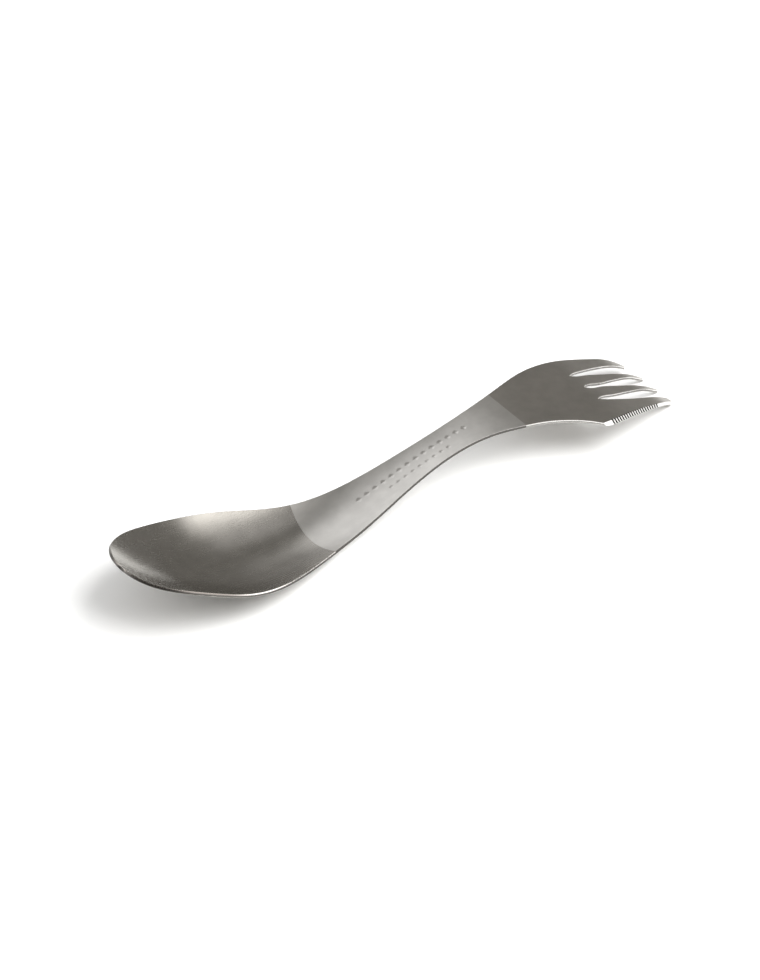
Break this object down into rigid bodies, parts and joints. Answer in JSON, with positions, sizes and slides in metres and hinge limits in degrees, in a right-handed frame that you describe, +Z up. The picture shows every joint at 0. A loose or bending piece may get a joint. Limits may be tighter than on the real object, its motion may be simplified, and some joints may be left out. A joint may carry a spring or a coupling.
{
  "type": "camping spork",
  "caption": "One-piece pressed titanium spork: a hollow spoon, a slim arched handle and a tined fork with a serrated cutting edge on one outer tine.",
  "frame": {"origin": "middle of the overall box, on the surface that the spork lies on", "axes": "+X along the spork from the spoon to the fork, +Y towards the plain outer tine, +Z up out of the spoon's hollow"},
  "size_m": [0.1708, 0.0384, 0.0187],
  "materials": {
    "titanium": "titanium: polished spoon, bead-blasted handle, satin fork"
  },
  "bodies": {
    "root": {"spork": "titanium"}
  },
  "joints": []
}
